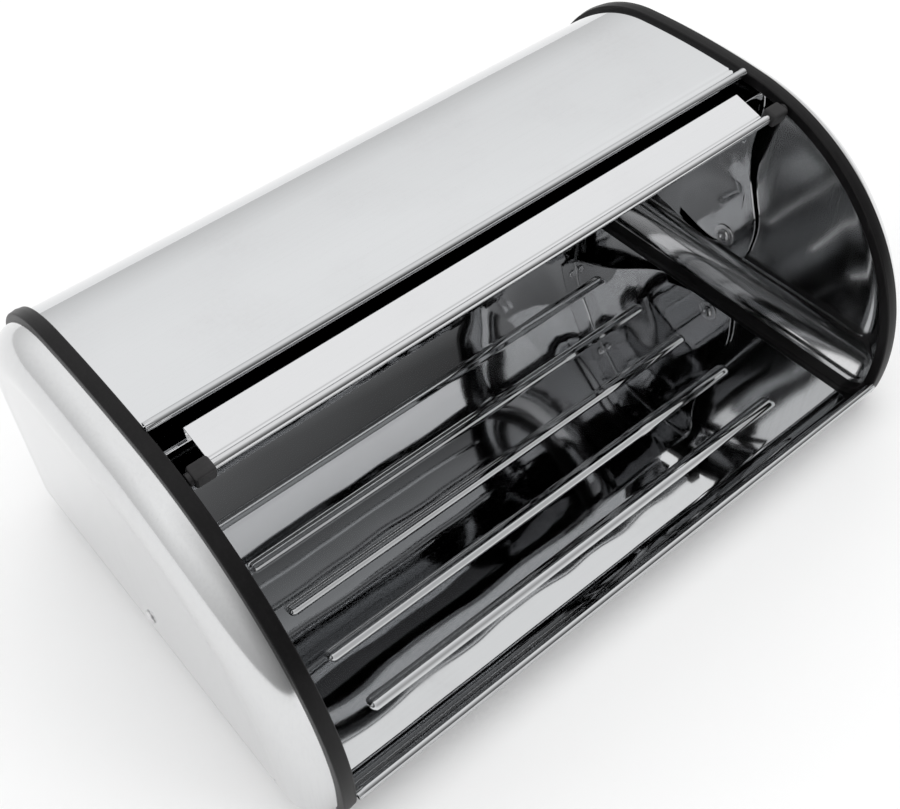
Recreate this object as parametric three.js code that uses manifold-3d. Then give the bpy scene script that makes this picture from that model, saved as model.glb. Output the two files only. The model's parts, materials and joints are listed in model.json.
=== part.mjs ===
// Roll-top bread box in sheet steel, lid rolled back.
// Millimetres, +Z up, +X along the box, -Y the open front. Origin on the surface it stands on, midway
// between the ends and midway between front and back.
import * as THREE from 'three';
import { mergeVertices } from 'three/addons/utils/BufferGeometryUtils.js';
import { ParametricGeometry } from 'three/addons/geometries/ParametricGeometry.js';
import Module from 'manifold-3d';

// ---- body: overall size and the end outline ----
const bodyLength = 400;          // over the outer faces of the two edge trims
const frontRadius = 138.4;       // the round front of the end outline
const frontCentreHeight = 33.6;  // its centre above the bottom of the trims
const frontCornerRadius = 20;    // bottom front corner
const crownRadius = 530;         // the nearly flat top
const crownStart = 5.64;         // degrees forward of upright where the front arc becomes the crown
const rearRadius = 75;           // top rear corner
const rearBottomRadius = 18;     // bottom rear corner
const rearClearance = 18;        // from the rear edge of the open lid to the back wall

// ---- walls and edge trims ----
const sheet = 0.6;               // steel sheet of the shell and the lid
const capSheet = 0.7;            // steel sheet of the dished ends
const gap = 0.3;                 // clearance between pieces that touch
const trimWidth = 8;             // along the box
const trimDepth = 6.5;           // in the plane of the end
const trimProud = 2.5;           // how far a trim stands out beyond the sheet
const trimRound = 1.2;           // rounding of the trim's corners
const shellSeat = 3;             // how deep the shell sits in a trim
const capSeat = 3;               // how deep an end sits in a trim
const minimumCorner = 4;         // the tightest corner that an inset outline keeps

// ---- dished ends ----
const capDepth = 17.5;           // how far the end face stands out beyond the trim
const capInset = 4;              // from the outline in to the outside of an end
const capRoll = 21;              // width of the rounded edge of the end face

// ---- rolled edges and floor beads ----
const hemRadius = 2.4;           // rolled edges of the shell, at the top and at the front lip
const hemSetback = 8;            // from the end of the front arc back to the top hem
const lipAngle = 5;              // degrees below the arc's centre where the front lip ends
const beadCount = 5;
const beadPitch = 35.5;
const beadWidth = 7;
const beadHeight = 2.2;
const beadEndMargin = 40;        // from the end of the shell to the end of a bead
const firstBeadFromFront = 41;

// ---- pivot ----
const pivotForward = 2.2;        // from the front arc's centre towards the front
const pivotRise = 3.9;           // from the front arc's centre upwards
const pinRadius = 2.5;
const pinHeadRadius = 4.2;
const pinHeadHeight = 1.6;
const washerRadius = 7.5;
const spacerThickness = 1.2;     // nylon washer between the arm and the end
const backWasherThickness = 0.5; // steel washer under the inner head

// ---- lid ----
const lidGap = 17.05;            // from the front arc's radius in to the lid sheet's outer face
const foldAngle = 5.94;          // degrees forward of upright where the lid folds into its band
const bandRise = 9;              // height of the step from the lid sheet up to its front band
const bandLean = -1;             // how far that step leans forward; below zero it leans back
const rollAngle = 15.3;          // degrees forward of upright of the rolled edge
const rollInset = 8.2;           // from the front arc's radius in to the middle of the rolled edge
const rollRadius = 2.5;
const lidOverlap = 6;            // degrees that the shut lid reaches behind the top hem
const lidEndClearance = 12;      // from the end of the lid sheet to the flat inside of an end
const bandEndClearance = 14;     // from the end of the lid's band to the trim
const rollEndClearance = 4;      // from the end of the rolled edge to the trim

// ---- lid sides ----
const armSheet = 1.0;
const flangeWidth = 10;          // turned-in flange under the lid sheet
const stepInset = 22.5;          // from the lid sheet in to the slope between the side's two flats
const stepWidth = 60;            // width of that slope
const armForward = 11.6;         // the front edge ahead of the pivot, near the lid
const armWaist = 8.2;            // the same, halfway down
const armRootForward = 19;       // the same, where it meets the hub
const armRootHeight = 24;        // height of that point above the pivot
const armFlare = 15;             // height over which the edge swings out to the hub
const armShoulder = 32.4;        // from the lid sheet's radius down to the top of the front edge
const hubRadius = 19.5;          // rounded lower corner round the pivot
const hubDrop = 11;              // from the pivot down to the lower edge
const sideRearMargin = 5;        // degrees from the lid's rear edge to the side's rear edge

// ---- lid rivets ----
const lidRivetCount = 3;
const lidRivetRadius = 1.6;
const lidRivetHeadRadius = 3.2;
const lidRivetHeadHeight = 1.0;
const firstRivetMargin = 15;     // degrees from the fold to the first rivet
const lastRivetMargin = 10;      // degrees from the lid's rear edge to the last rivet

// ---- bumpers and feet ----
const bumperLength = 11;
const bumperAcross = 8;
const bumperAlong = 9;
const bumperRound = 2;
const bumperStubRadius = 3.2;
const bumperStub = 2;            // length of the stub
const bumperEndClearance = 0.6;  // from the stub to the trim
const footRadius = 9;
const footThickness = 4;
const footChamfer = 0.8;
const footInset = 26;            // from the ends of the shell and from the bends of the floor

// ---- worked-out sizes ----
const degrees = Math.PI / 180;
const halfLength = bodyLength / 2;
const pivotFromFront = frontRadius - pivotForward;
const pivotHeight = frontCentreHeight + pivotRise;
const trimInner = halfLength - trimWidth;
const shellHalf = trimInner + shellSeat;
const beadHalf = shellHalf - beadEndMargin;
const capRim = halfLength - capSeat;
const faceX = halfLength + capDepth;
const faceInnerX = faceX - capSheet;
const base = footThickness + gap - trimProud;      // bottom of the trims above the surface
const lidRadius = frontRadius - lidGap;
const edgeRadius = frontRadius - rollInset;
const hubFlatRadius = lidRadius - stepInset - stepWidth;
const lipForward = pivotFromFront - frontRadius + (frontRadius - trimProud) * Math.cos(lipAngle * degrees);
const lipDrop = pivotHeight - frontCentreHeight + (frontRadius - trimProud) * Math.sin(lipAngle * degrees);
const lipTurn = 90 + Math.atan2(lipDrop, lipForward) / degrees;
const travelStop = Math.atan((bumperAlong / 2 + hemRadius + gap) / edgeRadius) / degrees;
const lidTravel = lipTurn - rollAngle - travelStop;
const hemTurn = crownStart - hemSetback / frontRadius / degrees;
const lidRear = hemTurn - lidOverlap - lidTravel;
const lidReach = lidRadius * Math.sin(-lidRear * degrees);
const bodyDepth = pivotFromFront + lidReach + rearClearance + sheet + trimProud;
const frontY = -bodyDepth / 2;
const backY = bodyDepth / 2;
const pivotY = frontY + pivotFromFront;
const pivotZ = base + pivotHeight;
const lidHalf = faceInnerX - lidEndClearance;
const bandHalf = trimInner - bandEndClearance;
const rollHalf = trimInner - rollEndClearance;
const armOuterX = faceInnerX - gap - spacerThickness - gap;
const armInnerX = armOuterX - armSheet;
const sideX = lidHalf - armSheet;

const steelBright = { color: 0xdfe1e3, roughness: 0.08, metalness: 1 };
const steelSatin = { color: 0xe6e7e8, roughness: 0.3, metalness: 1 };
const blackPlastic = { color: 0x1c1b1c, roughness: 0.5, metalness: 0 };
const rubber = { color: 0x161616, roughness: 0.8, metalness: 0 };
const nylon = { color: 0xe8e6df, roughness: 0.5, metalness: 0 };
const zincSteel = { color: 0xc4c6c8, roughness: 0.3, metalness: 1 };

const wasm = await Module();
wasm.setup();

// A closed geometry as a solid, and back. Triangles with no area are dropped on the way.
function solid(geometry) {
  const bare = geometry.clone();
  bare.deleteAttribute('normal');
  bare.deleteAttribute('uv');
  const merged = mergeVertices(bare, 1e-4);
  const corner = merged.index.array;
  const kept = [];
  for (let i = 0; i < corner.length; i += 3) {
    const [a, b, c] = [corner[i], corner[i + 1], corner[i + 2]];
    if (a !== b && b !== c && c !== a) kept.push(a, b, c);
  }
  const vertProperties = new Float32Array(merged.attributes.position.array);
  const triVerts = new Uint32Array(kept);
  return new wasm.Manifold(new wasm.Mesh({ numProp: 3, vertProperties, triVerts }));
}

function geometryOf(body) {
  const mesh = body.getMesh();
  const geometry = new THREE.BufferGeometry();
  const points = new Float32Array(mesh.vertProperties);
  geometry.setAttribute('position', new THREE.BufferAttribute(points, 3));
  geometry.setIndex(new THREE.BufferAttribute(new Uint32Array(mesh.triVerts), 1));
  return geometry;
}

// ---- the end outline ----
// Five arcs, each { y, z, r, from, to } with angles from +Y towards +Z, going round from the bottom
// front corner by the floor, the back and the crown to the front. inset moves the outline inwards.
function outlineArcs(inset) {
  const floor = base + inset;
  const back = backY - inset;
  const front = { y: frontY + frontRadius, z: base + frontCentreHeight, r: frontRadius - inset };
  const corner = { r: Math.max(frontCornerRadius - inset, minimumCorner) };
  corner.z = floor + corner.r;
  corner.y = front.y - Math.sqrt((front.r - corner.r) ** 2 - (corner.z - front.z) ** 2);
  const crownTurn = 90 * degrees + crownStart * degrees;
  const crown = { r: crownRadius - inset };
  crown.y = front.y + (front.r - crown.r) * Math.cos(crownTurn);
  crown.z = front.z + (front.r - crown.r) * Math.sin(crownTurn);
  const rear = { r: Math.max(rearRadius - inset, minimumCorner) };
  rear.y = back - rear.r;
  rear.z = crown.z + Math.sqrt((crown.r - rear.r) ** 2 - (rear.y - crown.y) ** 2);
  const rearBottom = { r: Math.max(rearBottomRadius - inset, minimumCorner) };
  rearBottom.y = back - rearBottom.r;
  rearBottom.z = floor + rearBottom.r;
  const cornerTurn = Math.atan2(corner.z - front.z, corner.y - front.y) + 2 * Math.PI;
  const rearTurn = Math.atan2(rear.z - crown.z, rear.y - crown.y);
  Object.assign(corner, { from: cornerTurn, to: 1.5 * Math.PI });
  Object.assign(rearBottom, { from: -Math.PI / 2, to: 0 });
  Object.assign(rear, { from: 0, to: rearTurn });
  Object.assign(crown, { from: rearTurn, to: crownTurn });
  Object.assign(front, { from: crownTurn, to: cornerTurn });
  return { corner, rearBottom, rear, crown, front };
}

const arcSteps = { corner: 5, rearBottom: 3, rear: 7, crown: 6, front: 16 };

function arcPoints(arc, steps, from = arc.from, to = arc.to) {
  return Array.from({ length: steps + 1 }, (_, i) => {
    const turn = from + (to - from) * i / steps;
    return new THREE.Vector2(arc.y + arc.r * Math.cos(turn), arc.z + arc.r * Math.sin(turn));
  });
}

// The whole outline, closed: the same number of points at every inset.
function outline(inset) {
  const arcs = outlineArcs(inset);
  const points = Object.keys(arcSteps).flatMap((name) => {
    const run = arcPoints(arcs[name], arcSteps[name]);
    return name === 'crown' || name === 'front' ? run.slice(1) : run;
  });
  points.pop();
  return points;
}

// The shell's part of the outline: from the front lip under the box and up the back to the top hem.
function shellRun(inset, extra = 0) {
  const { corner, rearBottom, rear, crown, front } = outlineArcs(inset);
  const lip = Math.PI + lipAngle * degrees - extra / front.r;
  return [
    ...arcPoints(front, 2, lip, corner.from),
    ...arcPoints(corner, arcSteps.corner).slice(1),
    ...arcPoints(rearBottom, arcSteps.rearBottom),
    ...arcPoints(rear, arcSteps.rear),
    ...arcPoints(crown, arcSteps.crown, crown.from, crown.to - (hemSetback - extra) / crown.r).slice(1),
  ];
}

// ---- shape helpers ----
const acrossBox = new THREE.Matrix4().makeBasis(
  new THREE.Vector3(0, 1, 0),
  new THREE.Vector3(0, 0, 1),
  new THREE.Vector3(1, 0, 0),
);

// An outline in the Y-Z plane carried along X from x0 to x1.
function alongBox(shape, x0, x1, curveSegments = 6) {
  const options = { depth: x1 - x0, bevelEnabled: false, curveSegments };
  return new THREE.ExtrudeGeometry(shape, options).applyMatrix4(acrossBox).translate(x0, 0, 0);
}

// A round bar along X, centred on (y, z).
function bar(y, z, radius, x0, x1, sides = 16) {
  const geometry = new THREE.CylinderGeometry(radius, radius, x1 - x0, sides);
  return geometry.rotateZ(Math.PI / 2).translate((x0 + x1) / 2, y, z);
}

// A shape turned about an axis along X: profile points are (radius, x).
function turned(profile, y, z, segments = 20) {
  const points = profile.map(([radius, x]) => new THREE.Vector2(radius, x));
  return new THREE.LatheGeometry(points, segments).rotateZ(-Math.PI / 2).translate(0, y, z);
}

// A section carried round the end outline. Each section point is { x, inset } or, for the middle of
// a flat face, { x, inset, middle: true }.
function roundOutline(section, closed) {
  const rings = section.map(({ x, inset, middle }) => {
    const points = outline(inset);
    const centre = new THREE.Vector2(pivotY, pivotZ);
    return points.map((p) => (middle ? { x, p: centre } : { x, p }));
  });
  if (closed) rings.push(rings[0]);
  const around = rings[0].length;
  const surface = (u, v, target) => {
    const { x, p } = rings[Math.round(v * (rings.length - 1))][Math.round(u * around) % around];
    target.set(x, p.x, p.y);
  };
  return new ParametricGeometry(surface, around, rings.length - 1);
}

function mirrored(body) {
  return body.mirror([1, 0, 0]);
}

// ---- body shell ----
function sheetShape(outer, inner) {
  return new THREE.Shape([...outer, ...inner.slice().reverse()]);
}

function rolledEdge(run, inner, index, next) {
  const out = run[index].clone().sub(inner[index]).normalize();
  const middle = inner[index].clone().addScaledVector(out, hemRadius);
  const along = run[index].clone().sub(run[next]).normalize().multiplyScalar(hemRadius / 2);
  return middle.add(along);
}

const shellOuter = shellRun(trimProud);
const shellInner = shellRun(trimProud + sheet);
const lipCentre = rolledEdge(shellOuter, shellInner, 0, 1);
const last = shellOuter.length - 1;
const hemCentre = rolledEdge(shellOuter, shellInner, last, last - 1);

function floorBead(y) {
  const top = base + trimProud;
  const make = (grow) => {
    const radius = beadWidth / 2 + grow;
    const capsule = new THREE.CapsuleGeometry(radius, 2 * beadHalf - beadWidth, 4, 12, 1);
    const rise = (beadHeight + grow) / radius;
    return solid(capsule.rotateZ(Math.PI / 2).scale(1, 1, rise).translate(0, y, top));
  };
  const above = new THREE.BoxGeometry(bodyLength, bodyDepth, bodyDepth);
  const upper = solid(above.translate(0, 0, top + bodyDepth / 2));
  return { ridge: make(sheet).intersect(upper), hollow: make(0) };
}

function bodyShell() {
  let body = solid(alongBox(sheetShape(shellOuter, shellInner), -shellHalf, shellHalf));
  const hemHalf = trimInner - gap;
  body = body.add(solid(bar(lipCentre.x, lipCentre.y, hemRadius, -hemHalf, hemHalf)));
  body = body.add(solid(bar(hemCentre.x, hemCentre.y, hemRadius, -hemHalf, hemHalf)));
  for (let i = 0; i < beadCount; i += 1) {
    const { ridge, hollow } = floorBead(frontY + firstBeadFromFront + i * beadPitch);
    body = body.add(ridge).subtract(hollow);
  }
  return body;
}

// ---- dished ends and edge trims, made for the right-hand side ----
function capSection(inset, depth, roll, steps) {
  return Array.from({ length: steps + 1 }, (_, i) => {
    const turn = (Math.PI / 2) * (1 - i / steps);
    return { x: halfLength + depth * Math.sin(turn), inset: inset + roll * (1 - Math.cos(turn)) };
  });
}

const capRollSteps = 5;
const outerCapSection = capSection(capInset, capDepth, capRoll, capRollSteps);
const innerCapSection = capSection(
  capInset + capSheet, capDepth - capSheet, capRoll - capSheet, capRollSteps,
);

function endCap() {
  const body = solid(roundOutline([
    { x: faceInnerX, inset: capInset + capRoll, middle: true },
    ...innerCapSection,
    { x: capRim, inset: capInset + capSheet },
    { x: capRim, inset: capInset },
    ...outerCapSection.slice().reverse(),
    { x: faceX, inset: capInset + capRoll, middle: true },
  ], false));
  const hole = solid(bar(pivotY, pivotZ, pinRadius + gap, halfLength, faceX + capDepth, 20));
  return body.subtract(hole);
}

function edgeTrim() {
  const corner = trimRound * (1 - Math.SQRT1_2);
  const body = solid(roundOutline([
    { x: trimInner, inset: trimRound },
    { x: trimInner + corner, inset: corner },
    { x: trimInner + trimRound, inset: 0 },
    { x: halfLength - trimRound, inset: 0 },
    { x: halfLength - corner, inset: corner },
    { x: halfLength, inset: trimRound },
    { x: halfLength, inset: trimDepth },
    { x: trimInner, inset: trimDepth },
  ], true));
  const shellSlot = sheetShape(
    shellRun(trimProud - gap, gap), shellRun(trimProud + sheet + gap, gap),
  );
  const capSlot = roundOutline([
    { x: capRim - gap, inset: capInset - gap },
    { x: halfLength + gap, inset: capInset - gap },
    { x: halfLength + gap, inset: capInset + capSheet + gap },
    { x: capRim - gap, inset: capInset + capSheet + gap },
  ], true);
  return body
    .subtract(solid(alongBox(shellSlot, trimInner - gap, shellHalf + gap)))
    .subtract(solid(capSlot));
}

// ---- lid ----
// A point at an angle (degrees forward of upright) and a radius from the pivot.
function fromPivot(angle, radius) {
  const turn = angle * degrees;
  return new THREE.Vector2(pivotY - radius * Math.sin(turn), pivotZ + radius * Math.cos(turn));
}

function lidArc(from, to, radius, steps) {
  return Array.from({ length: steps + 1 }, (_, i) => fromPivot(from + (to - from) * i / steps, radius));
}

const lidSteps = 20;
const rollCentre = fromPivot(rollAngle, edgeRadius);
const foldPoint = fromPivot(foldAngle, lidRadius);
const bandRear = foldPoint.clone().add(new THREE.Vector2(-bandLean, bandRise));
const bandDirection = rollCentre.clone().sub(bandRear).normalize();
const bandNormal = new THREE.Vector2(bandDirection.y, -bandDirection.x);

const lidRivetAngles = Array.from({ length: lidRivetCount }, (_, i) => {
  const first = foldAngle - firstRivetMargin;
  const final = lidRear + lastRivetMargin;
  return first + (final - first) * i / (lidRivetCount - 1);
});
const lidRivetX = lidHalf - flangeWidth / 2;

// A rivet's profile along its own axis: radius and height from the outer face of the lid sheet.
function lidRivet(x, angle) {
  const under = -(sheet + gap + armSheet + gap);
  const profile = [
    [0, under - lidRivetHeadHeight],
    [lidRivetHeadRadius * 0.7, under - lidRivetHeadHeight],
    [lidRivetHeadRadius, under - gap],
    [lidRivetHeadRadius, under],
    [lidRivetRadius, under],
    [lidRivetRadius, gap],
    [lidRivetHeadRadius, gap],
    [lidRivetHeadRadius, gap * 2],
    [lidRivetHeadRadius * 0.7, gap + lidRivetHeadHeight],
    [0, gap + lidRivetHeadHeight],
  ];
  const points = profile.map(([r, h]) => new THREE.Vector2(r, h));
  const geometry = new THREE.LatheGeometry(points, 12).rotateX(Math.PI / 2);
  const at = fromPivot(angle, lidRadius);
  return solid(geometry.rotateX(angle * degrees).translate(x, at.x, at.y));
}

function lidRivetHoles(body) {
  return lidRivetAngles.reduce((left, angle) => {
    const at = fromPivot(angle, lidRadius);
    const drill = new THREE.CylinderGeometry(lidRivetRadius + gap, lidRivetRadius + gap, 20, 14);
    drill.rotateX(Math.PI / 2).rotateX(angle * degrees);
    const right = solid(drill.clone().translate(lidRivetX, at.x, at.y));
    return left.subtract(right).subtract(solid(drill.translate(-lidRivetX, at.x, at.y)));
  }, body);
}

function lidPanel() {
  const arc = sheetShape(
    lidArc(lidRear, foldAngle, lidRadius, lidSteps),
    lidArc(lidRear, foldAngle, lidRadius - sheet, lidSteps),
  );
  const foldInner = fromPivot(foldAngle, lidRadius - sheet);
  const above = bandNormal.clone().multiplyScalar(sheet);
  const behind = new THREE.Vector2(sheet, 0);
  const band = new THREE.Shape([
    foldInner,
    foldInner.clone().add(behind),
    bandRear.clone().add(behind).add(above),
    rollCentre.clone().add(above),
    rollCentre.clone(),
    bandRear,
  ]);
  const body = solid(alongBox(arc, -lidHalf, lidHalf))
    .add(solid(alongBox(band, -bandHalf, bandHalf)))
    .add(solid(bar(rollCentre.x, rollCentre.y, rollRadius, -rollHalf, rollHalf)));
  return lidRivetHoles(body);
}

// A lid side: a dished disc about the pivot, with its rim turned in under the lid sheet, cut to a fan.
function lidSide() {
  const rim = lidRadius - sheet - gap;
  const outerFlat = hubFlatRadius + stepWidth;
  const dish = turned([
    [0, armInnerX],
    [hubFlatRadius, armInnerX],
    [outerFlat, sideX],
    [rim - armSheet, sideX],
    [rim - armSheet, sideX - flangeWidth],
    [rim, sideX - flangeWidth],
    [rim, sideX + armSheet],
    [outerFlat, sideX + armSheet],
    [hubFlatRadius, armOuterX],
    [0, armOuterX],
  ], pivotY, pivotZ, 96);
  const top = fromPivot(foldAngle - gap, rim + armSheet);
  const shoulder = lidRadius - armShoulder;
  const flare = armRootHeight + armFlare;
  const front = [
    [armForward, shoulder],
    [armWaist, (shoulder + flare) / 2],
    [(armWaist + armRootForward) / 2, flare],
    [armRootForward, armRootHeight],
  ];
  const rearTop = fromPivot(lidRear + sideRearMargin, rim + armSheet);
  const fan = new THREE.Shape();
  fan.moveTo(top.x, top.y);
  fan.splineThru(front.map(([y, z]) => new THREE.Vector2(pivotY - y, pivotZ + z)));
  fan.absarc(pivotY, pivotZ, hubRadius, 150 * degrees, 210 * degrees, false);
  fan.lineTo(pivotY, pivotZ - hubDrop);
  fan.lineTo(pivotY + hubRadius, pivotZ - hubDrop);
  fan.lineTo(rearTop.x, rearTop.y);
  const steps = 16;
  for (let i = 1; i < steps; i += 1) {
    const angle = lidRear + sideRearMargin + (foldAngle - lidRear - sideRearMargin) * i / steps;
    const past = fromPivot(angle, rim + armSheet * 2);
    fan.lineTo(past.x, past.y);
  }
  const body = solid(dish).intersect(solid(alongBox(fan, trimInner - flangeWidth, faceX, 8)));
  const hole = solid(bar(pivotY, pivotZ, pinRadius + gap, trimInner, faceX, 20));
  return lidRivetHoles(body.subtract(hole));
}

// ---- pivot ----
const pinInner = armInnerX - gap - backWasherThickness - gap;

function pivotPin() {
  const dome = (head) => [[0, head(1)], [pinHeadRadius * 0.55, head(0.85)], [pinHeadRadius, head(0.3)]];
  const inside = dome((share) => pinInner - pinHeadHeight * share);
  const outside = dome((share) => faceX + gap + pinHeadHeight * share).reverse();
  return solid(turned([
    ...inside,
    [pinHeadRadius, pinInner],
    [pinRadius, pinInner],
    [pinRadius, faceX + gap],
    [pinHeadRadius, faceX + gap],
    ...outside,
  ], pivotY, pivotZ));
}

function washer(x, thickness, radius) {
  return solid(turned([
    [pinRadius + gap, x],
    [radius, x],
    [radius, x + thickness],
    [pinRadius + gap, x + thickness],
    [pinRadius + gap, x],
  ], pivotY, pivotZ));
}

// ---- bumpers ----
function bumper() {
  const halfAlong = bumperAlong / 2 - bumperRound;
  const halfAcross = bumperAcross / 2 - bumperRound;
  const section = new THREE.Shape();
  section.absarc(halfAlong, halfAcross, bumperRound, 0, Math.PI / 2);
  section.absarc(-halfAlong, halfAcross, bumperRound, Math.PI / 2, Math.PI);
  section.absarc(-halfAlong, -halfAcross, bumperRound, Math.PI, 1.5 * Math.PI);
  section.absarc(halfAlong, -halfAcross, bumperRound, 1.5 * Math.PI, 2 * Math.PI);
  const outer = trimInner - bumperEndClearance;
  const block = alongBox(section, 0, bumperLength, 2);
  block.rotateX(Math.atan2(bandDirection.y, bandDirection.x));
  block.translate(outer - bumperStub - bumperLength, rollCentre.x, rollCentre.y);
  const body = solid(block).add(solid(
    bar(rollCentre.x, rollCentre.y, bumperStubRadius, outer - bumperStub - bumperRound, outer, 16),
  ));
  const socket = bar(rollCentre.x, rollCentre.y, rollRadius + gap, 0, rollHalf + gap, 16);
  return body.subtract(solid(socket));
}

// ---- feet ----
function foot() {
  return solid(new THREE.LatheGeometry([
    new THREE.Vector2(0, 0),
    new THREE.Vector2(footRadius - footChamfer, 0),
    new THREE.Vector2(footRadius, footChamfer),
    new THREE.Vector2(footRadius, footThickness),
    new THREE.Vector2(0, footThickness),
  ], 24).rotateX(Math.PI / 2));
}

// ---- the assembly ----
const breadBox = new THREE.Group();

function addPiece(name, body, finish, at = [0, 0, 0]) {
  const mesh = new THREE.Mesh(geometryOf(body), new THREE.MeshStandardMaterial(finish));
  mesh.name = name;
  mesh.position.set(...at);
  breadBox.add(mesh);
}

function addPair(name, body, finish) {
  addPiece(`${name}_right`, body, finish);
  addPiece(`${name}_left`, mirrored(body), finish);
}

addPiece('body_shell', bodyShell(), steelBright);
addPiece('lid_panel', lidPanel(), steelBright);
addPair('end_cap', endCap(), steelSatin);
addPair('edge_trim', edgeTrim(), blackPlastic);
addPair('lid_side', lidSide(), steelBright);
addPair('lid_bumper', bumper(), blackPlastic);
addPair('pivot_rivet', pivotPin(), zincSteel);
addPair('pivot_spacer', washer(armOuterX + gap, spacerThickness, washerRadius), nylon);
addPair('pivot_washer', washer(pinInner + gap, backWasherThickness, washerRadius), zincSteel);
lidRivetAngles.forEach((angle, i) => {
  addPair(`lid_rivet_${i + 1}`, lidRivet(lidRivetX, angle), zincSteel);
});
const footX = shellHalf - footInset;
const footFront = frontY + frontCornerRadius + footInset;
const footBack = backY - rearBottomRadius - footInset;
addPiece('foot_front_left', foot(), rubber, [-footX, footFront, 0]);
addPiece('foot_front_right', foot(), rubber, [footX, footFront, 0]);
addPiece('foot_rear_left', foot(), rubber, [-footX, footBack, 0]);
addPiece('foot_rear_right', foot(), rubber, [footX, footBack, 0]);

export default breadBox;
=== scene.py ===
# %% [markdown]
# # A roll-top bread box in polished steel
# The box is a bent steel sheet held between two dished ends. A black plastic trim hides each joint. Inside,
# a curved lid hangs on two side plates and turns on a rivet at each end. The CAD model already fixes where
# everything is, so this lesson only replaces its faceted solids with smooth sheet metal and gives each
# surface its finish.

# %% Load the frame
import json
import math

import bmesh
import bpy
import numpy as np
from mathutils import Matrix, Vector


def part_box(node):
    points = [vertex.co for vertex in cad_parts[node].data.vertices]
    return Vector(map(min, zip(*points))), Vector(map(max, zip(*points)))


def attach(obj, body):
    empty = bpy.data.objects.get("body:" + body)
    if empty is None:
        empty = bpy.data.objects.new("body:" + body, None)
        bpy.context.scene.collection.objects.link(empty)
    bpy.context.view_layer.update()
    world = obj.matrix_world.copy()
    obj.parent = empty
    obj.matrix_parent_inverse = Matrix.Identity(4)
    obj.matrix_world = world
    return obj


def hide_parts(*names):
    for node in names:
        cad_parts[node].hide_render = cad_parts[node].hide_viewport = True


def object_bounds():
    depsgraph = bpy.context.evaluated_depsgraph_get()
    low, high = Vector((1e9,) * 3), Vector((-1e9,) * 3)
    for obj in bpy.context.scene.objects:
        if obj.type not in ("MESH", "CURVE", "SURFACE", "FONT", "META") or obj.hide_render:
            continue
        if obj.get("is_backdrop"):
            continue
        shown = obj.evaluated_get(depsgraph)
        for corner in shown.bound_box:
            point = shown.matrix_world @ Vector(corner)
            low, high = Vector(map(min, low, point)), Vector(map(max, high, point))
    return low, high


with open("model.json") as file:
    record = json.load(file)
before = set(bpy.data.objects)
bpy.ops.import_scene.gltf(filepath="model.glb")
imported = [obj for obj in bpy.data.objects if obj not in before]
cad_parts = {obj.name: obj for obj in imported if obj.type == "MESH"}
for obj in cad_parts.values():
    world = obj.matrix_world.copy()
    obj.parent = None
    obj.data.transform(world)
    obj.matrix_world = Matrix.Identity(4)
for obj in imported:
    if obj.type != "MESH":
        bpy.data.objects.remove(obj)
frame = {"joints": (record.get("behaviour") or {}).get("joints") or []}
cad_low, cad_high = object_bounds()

# %% [markdown]
# ## Sizes
# A maker works from a few sizes: the sheet thickness, the bends and the clearances. Places are read from
# the frame, so if the CAD model moves a rivet, the smooth rivet follows. Everything is in metres.

# %% Places that the frame gives
trim_low, trim_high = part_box("edge_trim_right")
pin_low, pin_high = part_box("pivot_rivet_right")
cap_low, cap_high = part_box("end_cap_right")
shell_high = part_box("body_shell")[1]
lid_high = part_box("lid_panel")[1]
roll_joint = frame["joints"][0]

half_length = trim_high.x
trim_inner = trim_low.x
face_x = cap_high.x
base_z = trim_low.z
front_y = trim_low.y
back_y = trim_high.y
shell_half = shell_high.x
lid_half = lid_high.x
pivot = np.array(roll_joint["pos_m"][1:])
print("half length", round(half_length, 4), "depth", round(back_y - front_y, 4), "pivot", pivot)

# %% Sizes of the sheet and its bends
SHEET = 0.0006
CAP_SHEET = 0.0007
ARM_SHEET = 0.0010
FRONT_RADIUS = 0.1384
FRONT_CENTRE_HEIGHT = 0.0336
FRONT_CORNER = 0.020
CROWN_RADIUS = 0.530
CROWN_START = math.radians(5.64)
REAR_RADIUS = 0.075
REAR_BOTTOM = 0.018
TIGHTEST_BEND = 0.004
TRIM_DEPTH = 0.0065
TRIM_PROUD = 0.0025
CAP_INSET = 0.004
CAP_ROLL = 0.021
HEM_RADIUS = 0.0024
HEM_SETBACK = 0.008
LIP_ANGLE = math.radians(5)
GAP = 0.0003

# %% [markdown]
# ## The end outline
# The box has the same outline at both ends: a big round front, a nearly flat crown, a rounded rear corner
# and a flat floor. Five tangent arcs draw it exactly, which keeps polished reflections smooth. Moving every
# arc inwards by the same distance gives the outline of anything that sits inside it.


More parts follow.
